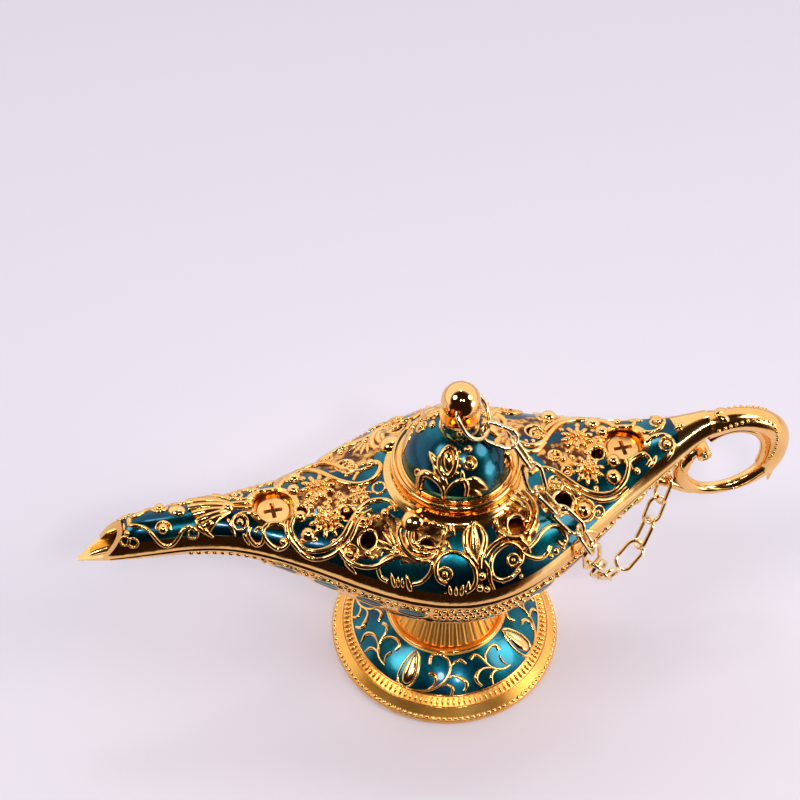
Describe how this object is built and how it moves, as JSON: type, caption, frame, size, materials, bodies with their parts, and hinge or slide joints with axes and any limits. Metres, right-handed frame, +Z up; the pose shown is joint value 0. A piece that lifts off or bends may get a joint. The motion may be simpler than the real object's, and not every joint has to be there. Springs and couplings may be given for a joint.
{
  "type": "genie oil lamp",
  "caption": "Enamelled metal oil lamp with spout, footed base, scroll handle and a lift-off domed lid on a chain.",
  "frame": {"origin": "centre of the foot's flat underside", "axes": "+X from the spout towards the handle, +Z up, -Y the side the chain hangs on"},
  "size_m": [0.1424, 0.048, 0.0778],
  "materials": {
    "polished_gold": "polished",
    "chain_gold": "polished",
    "screw_gold": "polished",
    "teal_enamel": "gloss",
    "washer_steel": "satin"
  },
  "bodies": {
    "lamp": {"foot": "polished_gold", "foot_enamel": "teal_enamel", "foot_washer": "washer_steel", "foot_screw": "screw_gold", "lower_shell": "polished_gold", "upper_shell": "polished_gold", "enamel_front": "teal_enamel", "enamel_rear": "teal_enamel", "front_screw": "screw_gold", "rear_screw": "screw_gold", "handle": "polished_gold"},
    "lid": {"lid": "polished_gold", "lid_enamel": "teal_enamel", "lid_neck": "polished_gold", "neck_enamel": "teal_enamel", "finial_ball": "polished_gold", "finial_ring": "polished_gold"},
    "chain_upper": {"chain_link_01": "chain_gold", "chain_link_02": "chain_gold", "chain_link_03": "chain_gold", "chain_link_04": "chain_gold", "chain_link_05": "chain_gold", "chain_link_06": "chain_gold", "chain_link_07": "chain_gold", "chain_link_08": "chain_gold", "chain_link_09": "chain_gold", "chain_link_10": "chain_gold", "chain_link_11": "chain_gold"},
    "chain_lower": {"chain_link_12": "chain_gold", "chain_link_13": "chain_gold", "chain_link_14": "chain_gold", "chain_link_15": "chain_gold"}
  },
  "joints": [
    {"name": "lid_lift", "type": "slide", "parent": "lamp", "child": "lid", "axis": [0, 0, 1], "range_m": [0, 0.006]},
    {"name": "chain_upper_swing", "type": "hinge", "parent": "lid", "child": "chain_upper", "pos_m": [0.00459, -0.00145, 0.06778], "axis": [-0.0201, 0.3275, -0.9446], "range_deg": [0, 6.7]},
    {"name": "chain_lower_swing", "type": "hinge", "parent": "lamp", "child": "chain_lower", "pos_m": [0.04505, 0.0006, 0.03887], "axis": [-0.5777, 0.8025, 0.1489], "range_deg": [0, 15.8]}
  ],
  "couplings": [
    {"joint": "chain_upper_swing", "follows": "lid_lift", "rad_per_m": 19.412},
    {"joint": "chain_lower_swing", "follows": "lid_lift", "rad_per_m": 45.739}
  ]
}
